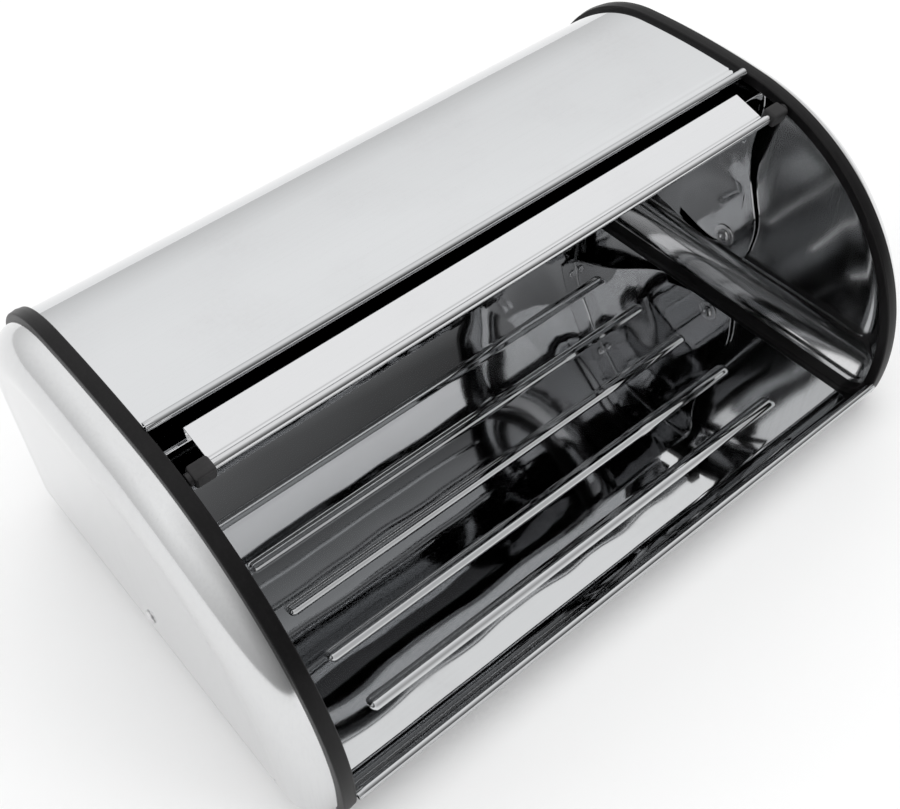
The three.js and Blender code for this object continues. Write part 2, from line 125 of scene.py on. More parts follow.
# %% Arcs of the outline
def outline_arcs(inset):
    """Five arcs (centre y, centre z, radius, start angle, end angle), each touching the next."""
    floor, back = base_z + inset, back_y - inset
    front = [front_y + FRONT_RADIUS, base_z + FRONT_CENTRE_HEIGHT, FRONT_RADIUS - inset]
    corner_r = max(FRONT_CORNER - inset, TIGHTEST_BEND)
    corner_z = floor + corner_r
    reach = math.sqrt((front[2] - corner_r) ** 2 - (corner_z - front[1]) ** 2)
    corner = [front[0] - reach, corner_z, corner_r]
    crown_turn = math.pi / 2 + CROWN_START
    crown_r = CROWN_RADIUS - inset
    crown = [
        front[0] + (front[2] - crown_r) * math.cos(crown_turn),
        front[1] + (front[2] - crown_r) * math.sin(crown_turn),
        crown_r,
    ]
    rear_r = max(REAR_RADIUS - inset, TIGHTEST_BEND)
    rear_y = back - rear_r
    rear = [rear_y, crown[1] + math.sqrt((crown_r - rear_r) ** 2 - (rear_y - crown[0]) ** 2), rear_r]
    low_r = max(REAR_BOTTOM - inset, TIGHTEST_BEND)
    rear_bottom = [back - low_r, floor + low_r, low_r]
    corner_turn = math.atan2(corner[1] - front[1], corner[0] - front[0]) + 2 * math.pi
    rear_turn = math.atan2(rear[1] - crown[1], rear[0] - crown[0])
    return {
        "corner": (*corner, corner_turn, 1.5 * math.pi),
        "rear_bottom": (*rear_bottom, -math.pi / 2, 0.0),
        "rear": (*rear, 0.0, rear_turn),
        "crown": (*crown, rear_turn, crown_turn),
        "front": (*front, crown_turn, corner_turn),
    }


def arc(centre_y, centre_z, radius, start, end, count):
    """count points on a circle: centre + radius * (cos t, sin t), t even between start and end."""
    t = np.linspace(start, end, count)
    return np.stack([centre_y + radius * np.cos(t), centre_z + radius * np.sin(t)], 1)


def line(a, b, count):
    """count points strictly between a and b, evenly spaced."""
    t = np.linspace(0, 1, count + 2)[1:-1, None]
    return np.asarray(a) * (1 - t) + np.asarray(b) * t


def closed_outline(inset):
    """The whole outline as one closed loop, the same number of points at every inset."""
    a = outline_arcs(inset)
    corner, low = arc(*a["corner"], 20), arc(*a["rear_bottom"], 18)
    rear, crown, front = arc(*a["rear"], 40), arc(*a["crown"], 40), arc(*a["front"], 90)
    floor, back = line(corner[-1], low[0], 40), line(low[-1], rear[0], 14)
    return np.vstack([corner, floor, low, back, rear, crown[1:], front[1:-1]])


def outline_ring(x, inset):
    """The outline as points in space, at one place along the box."""
    outline = closed_outline(inset)
    return np.column_stack([np.full(len(outline), x), outline])


print("points round the outline", len(closed_outline(0)))

# %% [markdown]
# ## Meshes from grids
# Each piece starts as a grid of points: a function of two parameters. The helper below joins the grid into
# quads, welds the points that fall together at seams and poles, and turns the faces outwards. Edges that
# bend more than a set angle stay crisp, the rest is shaded smooth.


# %% Grid to mesh
def quads(points, close_u=False, close_v=False, inner=0.0):
    """Vertices, quads and inner-side values of a (u, v, 3) grid; a closed direction joins its last row to
    its first. inner is 1 where the surface faces the inside of the box; there the materials darken the
    colour as painted shade and raise the waves."""
    nu, nv = points.shape[:2]
    i = np.arange(nu if close_u else nu - 1)
    j = np.arange(nv if close_v else nv - 1)
    i, j = [g.ravel() for g in np.meshgrid(i, j, indexing="ij")]
    i2, j2 = (i + 1) % nu, (j + 1) % nv
    corners = np.stack([i * nv + j, i2 * nv + j, i2 * nv + j2, i * nv + j2], 1)
    return points.reshape(-1, 3), corners, np.broadcast_to(inner, (nu, nv)).ravel()


def make_piece(name, grids, material, body, nodes, crisp=40.0):
    """One object from several grids, welded, closed and facing outwards, riding on its body."""
    vertices, faces, inner_side, offset = [], [], [], 0
    for grid in grids:
        v, f, inner = quads(*grid) if isinstance(grid, tuple) else quads(grid)
        vertices.append(v)
        inner_side.append(inner)
        faces.append(f + offset)
        offset += len(v)
    mesh = bpy.data.meshes.new(name)
    mesh.from_pydata(np.vstack(vertices).tolist(), [], np.vstack(faces).tolist())
    side_of = mesh.attributes.new("inner_side", "FLOAT", "POINT")
    side_of.data.foreach_set("value", np.concatenate(inner_side).astype(np.float32))
    work = bmesh.new()
    work.from_mesh(mesh)
    bmesh.ops.remove_doubles(work, verts=work.verts, dist=2e-6)
    bmesh.ops.dissolve_degenerate(work, edges=work.edges, dist=1e-7)
    bmesh.ops.recalc_face_normals(work, faces=work.faces)
    open_edges = sum(1 for e in work.edges if len(e.link_faces) != 2)
    if work.calc_volume(signed=True) < 0:
        bmesh.ops.reverse_faces(work, faces=work.faces)
    work.to_mesh(mesh)
    work.free()
    mesh.shade_smooth()
    mesh.set_sharp_from_angle(angle=math.radians(crisp))
    piece = bpy.data.objects.new(name, mesh)
    bpy.context.scene.collection.objects.link(piece)
    mesh.materials.append(material)
    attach(piece, body)
    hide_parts(*nodes)
    print(f"{name}: {len(mesh.polygons)} faces, {open_edges} open edges")
    return piece


def sheet_grid(path, normals, thickness, half_width, stations):
    """A bent sheet: both sides of a path in the Y-Z plane, path + n*t/2 and path - n*t/2, carried
    along X. half_width may change along the path. stations run from -1 to 1."""
    loop = np.vstack([path + normals * thickness / 2, (path - normals * thickness / 2)[::-1]])
    width = np.broadcast_to(half_width, len(path))
    width = np.concatenate([width, width[::-1]])
    x = stations[:, None] * width[None, :]
    y, z = [np.broadcast_to(loop[:, k], x.shape) for k in (0, 1)]
    return np.stack([x, y, z], 2)


def inner_half(grid):
    """1 on the side of a bent sheet that faces inwards, 0 on the side that faces outwards."""
    inner = np.zeros(grid.shape[:2])
    inner[:, grid.shape[1] // 2:] = 1.0
    return inner


def end_strips(grid):
    """The two flat ends of a bent sheet: strips between its two sides at the first and last station."""
    half = grid.shape[1] // 2
    return [np.stack([row[:half], row[half:][::-1]]) for row in (grid[0], grid[-1])]


def path_normals(path):
    """Unit normals of a path in the plane: the tangent by central differences, turned a quarter."""
    tangent = np.gradient(path, axis=0)
    tangent /= np.linalg.norm(tangent, axis=1)[:, None]
    return np.stack([tangent[:, 1], -tangent[:, 0]], 1)


def curl(end, direction, outward, radius, turn, count=30):
    """A rolled edge: from end, a circle of this radius on the outward side, through turn radians."""
    t = np.linspace(0, turn, count)[1:, None]
    centre = end + outward * radius
    return centre - outward * radius * np.cos(t) + direction * radius * np.sin(t)


def unit(v):
    """The vector with length 1."""
    return v / np.linalg.norm(v)


def ripple(distance, places, height, width):
    """Small drawn lines beside an edge: a sum of height * exp(-((distance - place) / width)^2)."""
    return sum(height * np.exp(-(((distance - place) / width) ** 2)) for place in places)


def bent_line(corners, radius, count=24, turn_count=14):
    """Straight stretches joined by round bends: each corner is replaced by a quadratic curve that
    starts and ends radius * 1.5 away from it."""
    corners = [np.asarray(c, float) for c in corners]
    points = [corners[0][None]]
    for before, here, after in zip(corners, corners[1:], corners[2:]):
        start = here + unit(before - here) * radius * 1.5
        end = here + unit(after - here) * radius * 1.5
        t = np.linspace(0, 1, turn_count)[:, None]
        bend = (1 - t) ** 2 * start + 2 * t * (1 - t) * here + t * t * end
        points += [line(points[-1][-1], start, count), bend]
    return np.vstack([*points, line(points[-1][-1], corners[-1], count * 2), corners[-1][None]])


def smooth_step(value, start, end):
    """0 before start, 1 after end, 3t^2 - 2t^3 in between."""
    t = np.clip((value - start) / (end - start), 0, 1)
    return t * t * (3 - 2 * t)


def arc_length(path):
    """Distance along a path from its first point."""
    steps = np.linalg.norm(np.diff(path, axis=0), axis=1)
    return np.concatenate([[0], np.cumsum(steps)])


# %% [markdown]
# ## Finishes
# Polished sheet is never quite flat: rolling leaves slow waves that bend every reflection, and wiping leaves
# hairlines and faint smudges. These effects appear on several metals, so each is built once as a node group
# and placed in a material with its own numbers. Heights are in metres, so a value can be read off a ruler.


# %% Node helpers
def new_group(name, inputs, outputs):
    """An empty shader node group with named float inputs and typed outputs."""
    group = bpy.data.node_groups.new(name, "ShaderNodeTree")
    for socket_name, value in inputs.items():
        socket = group.interface.new_socket(socket_name, in_out="INPUT", socket_type="NodeSocketFloat")
        socket.default_value = value
    for socket_name, kind in outputs.items():
        group.interface.new_socket(socket_name, in_out="OUTPUT", socket_type=kind)
    return group, group.nodes.new("NodeGroupInput"), group.nodes.new("NodeGroupOutput")


def place(tree, kind, settings=None, **values):
    """Adds a node, sets its properties, then gives its inputs a value or a link by socket name."""
    node = tree.nodes.new(kind)
    for key, value in (settings or {}).items():
        setattr(node, key, value)
    for key, value in values.items():
        target = node.inputs[int(key[1:])] if key[0] == "i" and key[1:].isdigit() else node.inputs[key]
        if isinstance(value, bpy.types.NodeSocket):
            tree.links.new(value, target)
        else:
            target.default_value = value
    return node


def calculate(tree, operation, a, b):
    """One Math node."""
    return place(tree, "ShaderNodeMath", {"operation": operation}, i0=a, i1=b).outputs[0]


def remap(tree, value, low, high, to_low, to_high):
    """Value from low..high to to_low..to_high, clamped."""
    node = place(tree, "ShaderNodeMapRange", None, **{"Value": value, "From Min": low, "From Max": high})
    node.inputs["To Min"].default_value = to_low
    node.inputs["To Max"].default_value = to_high
    return node.outputs[0]


# %% Shared effect: uneven sheet
def build_uneven():
    """Height = slow waves + fine grain, each noise times its height in metres, put out as a normal."""
    inputs = {"Wave Scale": 20.0, "Wave Height": 1e-4, "Grain Scale": 900.0, "Grain Height": 1e-6}
    group, given, made = new_group("uneven surface", inputs, {"Normal": "NodeSocketVector"})
    at = group.nodes.new("ShaderNodeTexCoord").outputs["Object"]
    wave_scale, grain_scale = given.outputs["Wave Scale"], given.outputs["Grain Scale"]
    wave = place(group, "ShaderNodeTexNoise", None, Vector=at, Scale=wave_scale, Detail=1.0)
    grain = place(group, "ShaderNodeTexNoise", None, Vector=at, Scale=grain_scale, Detail=3.0)
    slow = calculate(group, "MULTIPLY", wave.outputs[0], given.outputs["Wave Height"])
    fine = calculate(group, "MULTIPLY", grain.outputs[0], given.outputs["Grain Height"])
    bump = place(group, "ShaderNodeBump", None, Height=calculate(group, "ADD", slow, fine), Distance=1.0)
    group.links.new(bump.outputs[0], made.inputs["Normal"])
    return group


# %% Shared effects: smudges, hairlines and rubbed edges
def build_smudges():
    """Mask = blotchy noise raised to a threshold, broken up by a finer noise."""
    group, given, made = new_group("smudges", {"Scale": 18.0, "Amount": 0.5}, {"Mask": "NodeSocketFloat"})
    at = group.nodes.new("ShaderNodeTexCoord").outputs["Object"]
    blot = place(group, "ShaderNodeTexNoise", None, Vector=at, Scale=given.outputs["Scale"], Detail=3.0)
    fine_scale = calculate(group, "MULTIPLY", given.outputs["Scale"], 14.0)
    fine = place(group, "ShaderNodeTexNoise", None, Vector=at, Scale=fine_scale, Detail=2.0)
    spots = remap(group, blot.outputs[0], 0.48, 0.72, 0.0, 1.0)
    broken = calculate(group, "MULTIPLY", spots, fine.outputs[0])
    group.links.new(calculate(group, "MULTIPLY", broken, given.outputs["Amount"]), made.inputs["Mask"])
    return group


def build_hairlines():
    """Mask = noise squeezed across one direction, so it draws long thin lines."""
    inputs = {"Along X": 1.0, "Along Y": 1.0, "Along Z": 1.0, "Amount": 0.3}
    group, given, made = new_group("hairlines", inputs, {"Mask": "NodeSocketFloat"})
    at = group.nodes.new("ShaderNodeTexCoord").outputs["Object"]
    stretch = place(group, "ShaderNodeCombineXYZ", None, **{
        axis: given.outputs[f"Along {axis}"] for axis in "XYZ"
    })
    squeezed = place(group, "ShaderNodeVectorMath", {"operation": "MULTIPLY"}, i0=at, i1=stretch.outputs[0])
    lines = place(group, "ShaderNodeTexNoise", None, Vector=squeezed.outputs[0], Scale=1.0, Detail=4.0)
    thin = remap(group, lines.outputs[0], 0.45, 0.75, 0.0, 1.0)
    group.links.new(calculate(group, "MULTIPLY", thin, given.outputs["Amount"]), made.inputs["Mask"])
    return group


def build_rubbed():
    """Mask = how sharply the surface bends outwards, from Pointiness, broken up by noise."""
    group, given, made = new_group("rubbed edges", {"Amount": 0.5}, {"Mask": "NodeSocketFloat"})
    bend = group.nodes.new("ShaderNodeNewGeometry").outputs["Pointiness"]
    at = group.nodes.new("ShaderNodeTexCoord").outputs["Object"]
    patchy = place(group, "ShaderNodeTexNoise", None, Vector=at, Scale=140.0, Detail=2.0)
    edge = remap(group, bend, 0.505, 0.56, 0.0, 1.0)
    mask = calculate(group, "MULTIPLY", edge, patchy.outputs[0])
    group.links.new(calculate(group, "MULTIPLY", mask, given.outputs["Amount"]), made.inputs["Mask"])
    return group


UNEVEN, SMUDGES, HAIRLINES, RUBBED = build_uneven(), build_smudges(), build_hairlines(), build_rubbed()
print("shared effects:", [g.name for g in (UNEVEN, SMUDGES, HAIRLINES, RUBBED)])


# %% Materials from the shared effects
def use(tree, group, **values):
    """Places a shared effect in a material with its own values."""
    node = tree.nodes.new("ShaderNodeGroup")
    node.node_tree = group
    for key, value in values.items():
        node.inputs[key.replace("_", " ")].default_value = value
    return node.outputs[0]


def finish(name, dark, light, rough_low, rough_high, uneven, lines, smudge, rub=0.0,
           inner_shade=1.0, inner_wave=1.0, **plain):
    """A Principled material. Colour runs from dark to light, and roughness from low to high, with the sum of
    hairlines, smudges and rubbed edges. On an inner side the colour is multiplied by a darker factor, which
    is painted shade for the dimmer light inside the box, and the waves are inner_wave times as high. plain
    sets constants on the shader's own sockets."""
    material = bpy.data.materials.new(name)
    material.use_nodes = True
    tree = material.node_tree
    shader = tree.nodes["Principled BSDF"]
    for key, value in plain.items():
        shader.inputs[key.replace("_", " ")].default_value = value
    marks = calculate(tree, "ADD", use(tree, HAIRLINES, **lines), use(tree, SMUDGES, **smudge))
    if rub:
        marks = calculate(tree, "ADD", marks, use(tree, RUBBED, Amount=rub))
    marks = remap(tree, marks, 0.0, 1.0, 0.0, 1.0)
    mix = place(tree, "ShaderNodeMix", {"data_type": "RGBA"})
    tree.links.new(marks, mix.inputs[0])
    mix.inputs[6].default_value = (*dark, 1)
    mix.inputs[7].default_value = (*light, 1)
    inner = place(tree, "ShaderNodeAttribute", {"attribute_name": "inner_side"}).outputs["Fac"]
    # Painted shade: on inner sides the colour is darkened by a fixed factor, which stands in for the dimmer
    # light inside the box.
    shade_darkening = place(tree, "ShaderNodeMix", {"data_type": "RGBA", "blend_type": "MULTIPLY"})
    tree.links.new(inner, shade_darkening.inputs[0])
    tree.links.new(mix.outputs[2], shade_darkening.inputs[6])
    shade_darkening.inputs[7].default_value = (inner_shade, inner_shade, inner_shade, 1)
    tree.links.new(shade_darkening.outputs[2], shader.inputs["Base Color"])
    tree.links.new(remap(tree, marks, 0.0, 1.0, rough_low, rough_high), shader.inputs["Roughness"])
    bumpy = use(tree, UNEVEN, **uneven)
    waves = remap(tree, inner, 0.0, 1.0, uneven["Wave_Height"], uneven["Wave_Height"] * inner_wave)
    tree.links.new(waves, bumpy.node.inputs["Wave Height"])
    tree.links.new(bumpy, shader.inputs["Normal"])
    return material


LONG_X = dict(Along_X=6.0, Along_Y=900.0, Along_Z=900.0)
LONG_Z = dict(Along_X=900.0, Along_Y=700.0, Along_Z=9.0)

# In each metal below, the factor for inner sides is painted shade: it darkens the inner sides because the
# inside of the box gets less light.
polished = finish(
    "polished steel", (0.67, 0.68, 0.69), (0.59, 0.59, 0.60), 0.03, 0.14,
    dict(Wave_Scale=16.0, Wave_Height=2.2e-4, Grain_Scale=700.0, Grain_Height=1e-7),
    dict(**LONG_X, Amount=0.10), dict(Scale=22.0, Amount=0.45), inner_shade=0.86, inner_wave=2.6,
    Metallic=1.0,
)
lid_metal = finish(
    "polished lid steel", (0.70, 0.705, 0.715), (0.62, 0.62, 0.63), 0.03, 0.13,
    dict(Wave_Scale=12.0, Wave_Height=1.2e-4, Grain_Scale=700.0, Grain_Height=1e-7),
    dict(**LONG_X, Amount=0.10), dict(Scale=26.0, Amount=0.35), inner_shade=0.90, inner_wave=3.0,
    Metallic=1.0,
)
side_metal = finish(
    "pressed side steel", (0.66, 0.665, 0.675), (0.54, 0.54, 0.55), 0.05, 0.24,
    dict(Wave_Scale=38.0, Wave_Height=4.5e-4, Grain_Scale=700.0, Grain_Height=2e-7),
    dict(**LONG_Z, Amount=0.25), dict(Scale=40.0, Amount=0.6), inner_shade=0.85, Metallic=1.0,
)
satin = finish(
    "satin steel", (0.70, 0.705, 0.71), (0.62, 0.62, 0.63), 0.11, 0.25,
    dict(Wave_Scale=14.0, Wave_Height=3.0e-4, Grain_Scale=1200.0, Grain_Height=1.2e-6),
    dict(**LONG_Z, Amount=0.28), dict(Scale=16.0, Amount=0.4), inner_shade=0.92, inner_wave=3.0,
    Metallic=1.0,
)
trim_black = finish(
    "satin black plastic", (0.0045, 0.0042, 0.0045), (0.024, 0.023, 0.024), 0.36, 0.56,
    dict(Wave_Scale=60.0, Wave_Height=3e-5, Grain_Scale=2200.0, Grain_Height=7e-6),
    dict(**LONG_Z, Amount=0.12), dict(Scale=50.0, Amount=0.25), rub=0.45, Specular_IOR_Level=0.17,
)
bumper_black = finish(
    "soft black plastic", (0.011, 0.0105, 0.011), (0.055, 0.053, 0.055), 0.42, 0.64,
    dict(Wave_Scale=120.0, Wave_Height=2e-5, Grain_Scale=2600.0, Grain_Height=9e-6),
    dict(**LONG_X, Amount=0.10), dict(Scale=90.0, Amount=0.3), rub=0.6, Specular_IOR_Level=0.3,
)
rivet_metal = finish(
    "bright plated steel", (0.74, 0.74, 0.75), (0.55, 0.54, 0.53), 0.14, 0.36,
    dict(Wave_Scale=260.0, Wave_Height=3e-5, Grain_Scale=3000.0, Grain_Height=2e-6),
    dict(**LONG_Z, Amount=0.3), dict(Scale=160.0, Amount=0.6), Metallic=1.0,
)
nylon = finish(
    "natural nylon", (0.80, 0.79, 0.75), (0.62, 0.60, 0.55), 0.38, 0.60,
    dict(Wave_Scale=180.0, Wave_Height=2e-5, Grain_Scale=2400.0, Grain_Height=3e-6),
    dict(**LONG_Z, Amount=0.15), dict(Scale=120.0, Amount=0.4), Subsurface_Weight=0.15,
    Subsurface_Scale=0.001,
)
rubber = finish(
    "matt black rubber", (0.018, 0.018, 0.018), (0.11, 0.105, 0.10), 0.72, 0.92,
    dict(Wave_Scale=90.0, Wave_Height=4e-5, Grain_Scale=1800.0, Grain_Height=1.4e-5),
    dict(**LONG_X, Amount=0.10), dict(Scale=70.0, Amount=0.55), rub=0.5, Specular_IOR_Level=0.3,
)
print("materials", len(bpy.data.materials))

# %% [markdown]
# ## The body shell
# One sheet makes the floor, the back and the top. It starts in a rolled lip at the front, runs under the
# box, up the back and over the crown, and ends in a rolled hem. A path with a thickness, carried along X,
# is exactly what a bending brake makes. The rolls are the same path, curled through most of a turn.


# %% Shell path
def shell_path():
    """Middle of the sheet from the lip roll to the hem roll, with points every millimetre on the floor."""
    a = outline_arcs(TRIM_PROUD + SHEET / 2)
    front, corner_turn = a["front"], a["corner"][3]
    lip = arc(*front[:3], math.pi + LIP_ANGLE, corner_turn, 12)
    corner, low = arc(*a["corner"], 22), arc(*a["rear_bottom"], 18)
    rear = arc(*a["rear"], 48)
    crown_end = a["crown"][4] - (HEM_SETBACK - HEM_RADIUS / 2) / a["crown"][2]
    crown = arc(*a["crown"][:4], crown_end, 110)
    floor, back = line(corner[-1], low[0], 230), line(low[-1], rear[0], 16)
    return np.vstack([lip[:-1], corner, floor, low, back, rear, crown[1:]])


path = shell_path()
normals = path_normals(path)
distance = arc_length(path)
from_hem = distance[-1] - distance
drawn_lines = ripple(from_hem, (0.0052, 0.0082), -0.00022, 0.0009)
path = path + normals * drawn_lines[:, None]

ROLL_TURN = math.radians(300)
roll_radius = HEM_RADIUS - SHEET / 2
top_roll = curl(path[-1], unit(path[-1] - path[-2]), normals[-1], roll_radius, ROLL_TURN)
lip_roll = curl(path[0], unit(path[0] - path[1]), normals[0], roll_radius, ROLL_TURN)[::-1]
full_path = np.vstack([lip_roll, path, top_roll])
full_normals = path_normals(full_path)
print("shell path", len(full_path), "points,", round(distance[-1] * 1000), "mm of sheet")

# %% [markdown]
# ## Floor beads
# Five long ridges are pressed up into the floor so that bread stays dry and the sheet stays stiff. Each bead
# is a height over the floor that depends only on the distance to its centre line, so its ends come out
# round by themselves. Both sides of the sheet move together, as they do in the press.

# %% Shell mesh
BEAD_COUNT = 5
BEAD_PITCH = 0.0355
BEAD_FLAT = 0.0012
BEAD_REACH = 0.0038
BEAD_HEIGHT = 0.0013
BEAD_END_MARGIN = 0.040
FIRST_BEAD = 0.041


def bead_height(x, y):
    """Sum over beads of H * (1 - step(d)), the step rising smoothly across the bead's flank, where d is
    the distance to the bead's centre line."""
    half = shell_half - BEAD_END_MARGIN - BEAD_REACH
    past = np.maximum(np.abs(x) - half, 0)
    total = np.zeros_like(x)
    for k in range(BEAD_COUNT):
        d = np.hypot(past, y - (front_y + FIRST_BEAD + k * BEAD_PITCH))
        total += BEAD_HEIGHT * (1 - smooth_step(d, BEAD_FLAT, BEAD_REACH))
    return total


rolled = len(lip_roll)
half_width = np.full(len(full_path), shell_half)
half_width[:rolled] = trim_inner - GAP
half_width[-len(top_roll):] = trim_inner - GAP
bead_end = (shell_half - BEAD_END_MARGIN) / shell_half
stations = np.concatenate([
    np.linspace(-1, -bead_end - 0.02, 8),
    np.linspace(-bead_end - 0.01, -bead_end + 0.04, 22),
    np.linspace(-bead_end + 0.07, 0, 14),
])
stations = np.concatenate([stations, -stations[-2::-1]])
shell = sheet_grid(full_path, full_normals, SHEET, half_width, stations)
floor_part = shell[..., 2] < base_z + TRIM_PROUD + SHEET * 1.5
shell[..., 2] += np.where(floor_part, bead_height(shell[..., 0], shell[..., 1]), 0)
make_piece(
    "shell_sheet", [(shell, False, True, inner_half(shell)), *end_strips(shell)], polished, "root",
    ["body_shell"], crisp=50,
)

# %% [markdown]
# ## Dished ends
# Each end is pressed from sheet: a short straight rim, a wide rounded edge and a flat face. The section is a
# quarter ellipse, and it is carried round the outline by moving the outline inwards as the section climbs.
# A faint drawn line shows where the roll meets the flat face.


# %% End caps
def cap_surface(inset, depth, roll, rim_x):
    """Rings from the rim to the middle: x = depth * sin t, inset = inset + roll * (1 - cos t), then a
    flat face that shrinks to the pivot."""
    t = np.linspace(0, math.pi / 2, 26)
    x = half_length + depth * np.sin(t)
    insets = inset + roll * (1 - np.cos(t))
    rings = [outline_ring(rim_x, inset), *(outline_ring(*place_in) for place_in in zip(x, insets))]
    edge = rings[-1]
    for share in np.array([0.985, 0.97, 0.94, 0.85, 0.7, 0.5, 0.3, 0.12, 0.0]):
        ring = edge.copy()
        ring[:, 1:] = pivot + (edge[:, 1:] - pivot) * share
        ring[:, 0] -= 0.00025 * math.exp(-(((1 - share) - 0.03) / 0.012) ** 2)
        rings.append(ring)
    return np.stack(rings)


CAP_DEPTH = face_x - half_length
outside = cap_surface(CAP_INSET, CAP_DEPTH, CAP_ROLL, cap_low.x)
inside = cap_surface(CAP_INSET + CAP_SHEET, CAP_DEPTH - CAP_SHEET, CAP_ROLL - CAP_SHEET, cap_low.x)
rim = np.stack([outside[0], inside[0]])


def both_sides(grids, side):
    """The grids as made for the right, or mirrored in X for the left."""
    flip = np.array([side, 1, 1])
    return [(g[0] * flip, *g[1:]) if isinstance(g, tuple) else g * flip for g in grids]


SIDES = {"right": 1, "left": -1}
for word, side in SIDES.items():
    # The inside of each end counts as an inner side, so its colour gets the painted shade.
    grids = [(outside, False, True), (inside, False, True, 1.0), (rim, False, True)]
    make_piece(
        f"dished_end_{word}", both_sides(grids, side), satin, "root",
        [f"end_cap_{word}"],
    )

# %% [markdown]
# ## Edge trims
# A black moulding covers the raw edges where shell and end meet. Its section is a small rounded rectangle
# with a low ridge down the middle of the outer face, which catches a thin line of light. Each point of the
# section keeps its own inset, so the moulding follows every bend without pinching.


# %% Trims
def trim_section():
    """(x, inset) round a rounded rectangle: a superellipse of power 7, plus a ridge on its outer face."""
    t = np.linspace(0, 2 * math.pi, 64, endpoint=False)
    c, s = np.cos(t), np.sin(t)
    x = np.sign(c) * np.abs(c) ** (2 / 7) * (half_length - trim_inner) / 2
    inset = TRIM_DEPTH / 2 - np.sign(s) * np.abs(s) ** (2 / 7) * TRIM_DEPTH / 2
    ridge = 0.00035 * np.exp(-((x / 0.0009) ** 2)) * (s > 0)
    return x + (half_length + trim_inner) / 2, inset - ridge


trim_x, trim_inset = trim_section()
rings = [outline_ring(x, inset) for x, inset in zip(trim_x, trim_inset)]
for word, side in SIDES.items():
    make_piece(
        f"edge_moulding_{word}", both_sides([(np.stack(rings), True, True)], side), trim_black, "root",
        [f"edge_trim_{word}"], crisp=60,
    )

# %% [markdown]
# ## The lid
# The lid is a cylinder-shaped sheet centred on the pivots, so it slides under the crown without rubbing. At
# its front it folds up into a narrow band that ends in a rolled edge, which doubles as the handle. The
# band is shorter than the sheet, which leaves room for the bumpers, and is a surface of its own here.

# %% Lid sizes
LID_GAP = 0.01705
FOLD_ANGLE = math.radians(5.94)
ROLL_ANGLE = math.radians(15.3)
ROLL_INSET = 0.0082
ROLL_RADIUS = 0.0025
BAND_RISE = 0.009
BAND_LEAN = -0.001
BAND_END_CLEARANCE = 0.014
ROLL_END_CLEARANCE = 0.004
lid_radius = FRONT_RADIUS - LID_GAP
edge_radius = FRONT_RADIUS - ROLL_INSET


def from_pivot(angle, radius):
    """The point at an angle forward of upright and a radius from the pivot."""
    return np.stack([pivot[0] - radius * np.sin(angle), pivot[1] + radius * np.cos(angle)], -1)


lid_rear = -math.asin(min(1.0, (lid_high.y - pivot[0]) / lid_radius))
lid_mid = lid_radius - SHEET / 2
lid_path = from_pivot(np.linspace(lid_rear, FOLD_ANGLE, 120), lid_mid)
even = np.linspace(-1, 1, 25)
lid = sheet_grid(lid_path, path_normals(lid_path), SHEET, lid_half, even)
make_piece(
    "lid_sheet", [(lid, False, True, inner_half(lid)), *end_strips(lid)], lid_metal, "lid",
    ["lid_panel"], crisp=50,
)

# %% Lid band and rolled edge
roll_centre = from_pivot(ROLL_ANGLE, edge_radius)
band_rear = from_pivot(FOLD_ANGLE, lid_radius) + np.array([-BAND_LEAN, BAND_RISE])
forward = unit(roll_centre - band_rear)
up = np.array([forward[1], -forward[0]]) * -1
curl_radius = ROLL_RADIUS - SHEET / 2
fold_foot = from_pivot(FOLD_ANGLE, lid_mid)
band_end = roll_centre + up * curl_radius
band = bent_line([fold_foot, band_rear, band_end], 0.0009)
band_normals = path_normals(band)
to_roll = arc_length(band)[-1] - arc_length(band)
band = band - band_normals * ripple(to_roll, (0.0028, 0.0044), 0.00020, 0.0005)[:, None]
front_roll = curl(band[-1], forward, -up, curl_radius, ROLL_TURN)
band_path = np.vstack([band, front_roll])
band_half = np.full(len(band_path), trim_inner - BAND_END_CLEARANCE)
band_half[len(band):] = trim_inner - ROLL_END_CLEARANCE
lid_band = sheet_grid(band_path, path_normals(band_path), SHEET, band_half, even)
make_piece(
    "lid_front_band", [(lid_band, False, True, inner_half(lid_band)), *end_strips(lid_band)],
    lid_metal, "lid", ["lid_panel"], crisp=50,
)

# %% [markdown]
# ## Lid sides
# Each side plate is pressed with a step: flat near the pivot, then a slope, then flat again under the lid,
# where its rim turns in as a flange. The plate is a polar grid about the pivot. Every ray follows the same
# section, and is cut off where the plate's edge crosses it.

# %% Side plate section
FLANGE = 0.010
STEP_INSET = 0.0225
STEP_WIDTH = 0.060
arm_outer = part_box("lid_side_right")[1].x
side_outer = lid_half
rim_radius = lid_radius - SHEET - GAP
step_end = lid_radius - STEP_INSET
step_start = step_end - STEP_WIDTH
PIN_CLEARANCE = 0.0028
SIDE_BEND = 0.002
HUB_RADIUS = 0.0195
HUB_CORNER = (-0.0195, -0.011)
ROOT = (0.019, 0.024)
SHOULDER_DROP = 0.0324
FLARE_HEIGHT = 0.039
REAR_MARGIN = math.radians(5)


def side_section(length):
    """(radius, x) of the plate's middle at a distance along it, measured from the pin hole: the step,
    then a round bend, then the flange."""
    flat = rim_radius - ARM_SHEET / 2 - SIDE_BEND - PIN_CLEARANCE
    turn = np.clip((length - flat) / SIDE_BEND, 0, math.pi / 2)
    radius = PIN_CLEARANCE + np.minimum(length, flat) + SIDE_BEND * np.sin(turn)
    drop = smooth_step(radius, step_start, step_end) * (arm_outer - side_outer)
    past = np.maximum(length - flat - SIDE_BEND * math.pi / 2, 0)
    return radius, arm_outer - ARM_SHEET / 2 - drop - SIDE_BEND * (1 - np.cos(turn)) - past


